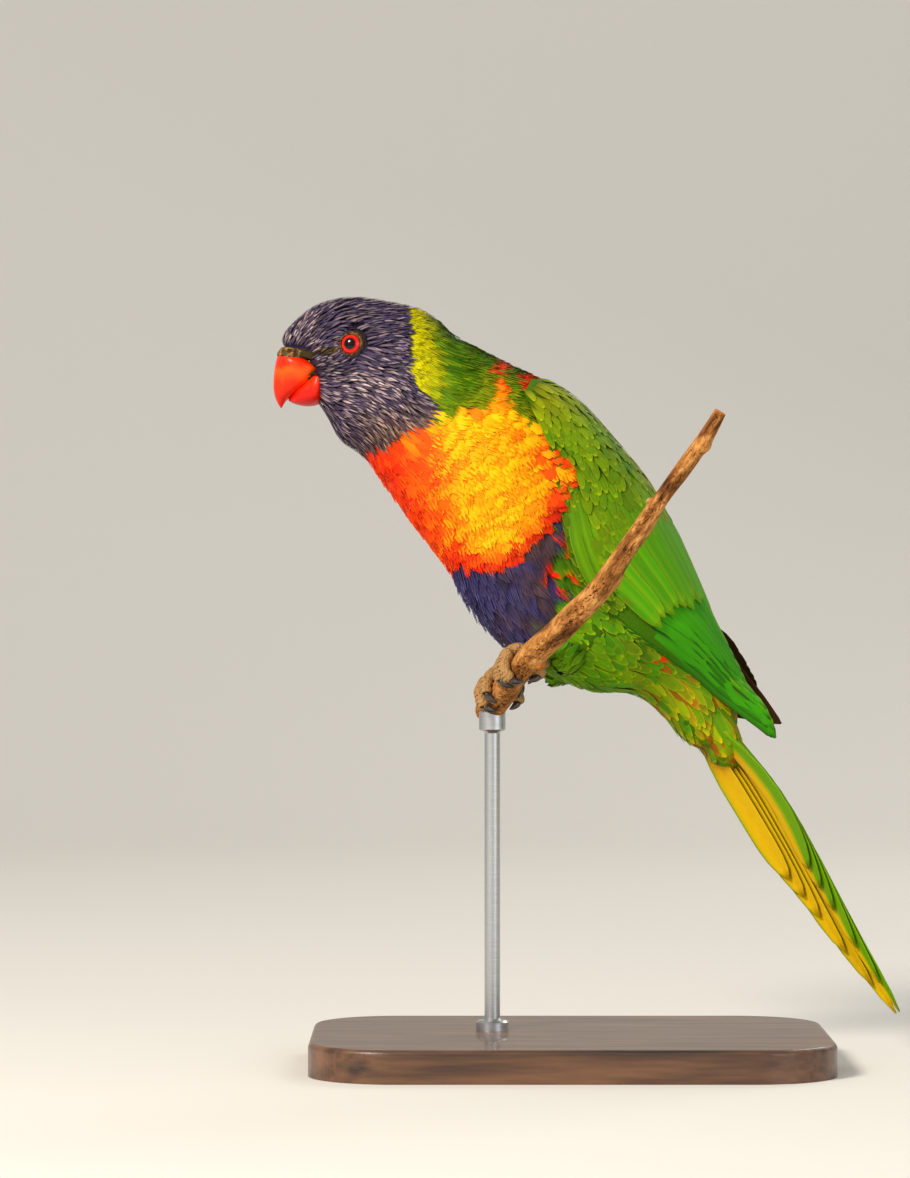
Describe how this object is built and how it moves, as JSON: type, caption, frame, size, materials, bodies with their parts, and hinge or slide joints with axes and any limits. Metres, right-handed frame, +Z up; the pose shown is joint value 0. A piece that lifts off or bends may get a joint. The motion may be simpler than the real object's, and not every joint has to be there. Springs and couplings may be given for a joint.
{
  "type": "rainbow lorikeet on a perch, museum display model",
  "caption": "Still, life-size rainbow lorikeet leaning forward as it grips a short cut length of twig, held by a plain display stand.",
  "frame": {"origin": "centre of the underside of the stand's base, on the floor", "axes": "+Z up; the bird faces -X, its tail hangs towards +X and its left side faces -Y"},
  "size_m": [0.1926, 0.112, 0.234],
  "materials": {
    "feathers_violet": "soft barbed feather",
    "feathers_collar": "soft barbed feather",
    "feathers_orange": "soft barbed feather",
    "feathers_green": "smooth barbed feather",
    "bill": "smooth waxy horn",
    "eye": "wet gloss",
    "foot_skin": "scaly skin",
    "claw": "smooth horn",
    "bark": "rough bark",
    "stand_wood": "satin lacquer",
    "stand_steel": "brushed"
  },
  "bodies": {
    "root": {"head": "feathers_violet", "bill_upper": "bill", "bill_lower": "bill", "eye_left": "eye", "eye_right": "eye", "neck": "feathers_collar", "wing_left": "feathers_green", "wing_right": "feathers_green", "tail": "feathers_green", "trunk": "feathers_orange", "rump": "feathers_green", "perch_twig": "bark", "leg_left": "feathers_green", "foot_left": "foot_skin", "toe_front_outer_left": "foot_skin", "claw_front_outer_left": "claw", "toe_front_inner_left": "foot_skin", "claw_front_inner_left": "claw", "toe_back_outer_left": "foot_skin", "claw_back_outer_left": "claw", "toe_back_inner_left": "foot_skin", "claw_back_inner_left": "claw", "leg_right": "feathers_green", "foot_right": "foot_skin", "toe_front_outer_right": "foot_skin", "claw_front_outer_right": "claw", "toe_front_inner_right": "foot_skin", "claw_front_inner_right": "claw", "toe_back_outer_right": "foot_skin", "claw_back_outer_right": "claw", "toe_back_inner_right": "foot_skin", "claw_back_inner_right": "claw", "stand_base": "stand_wood", "stand_rod": "stand_steel"}
  },
  "joints": []
}
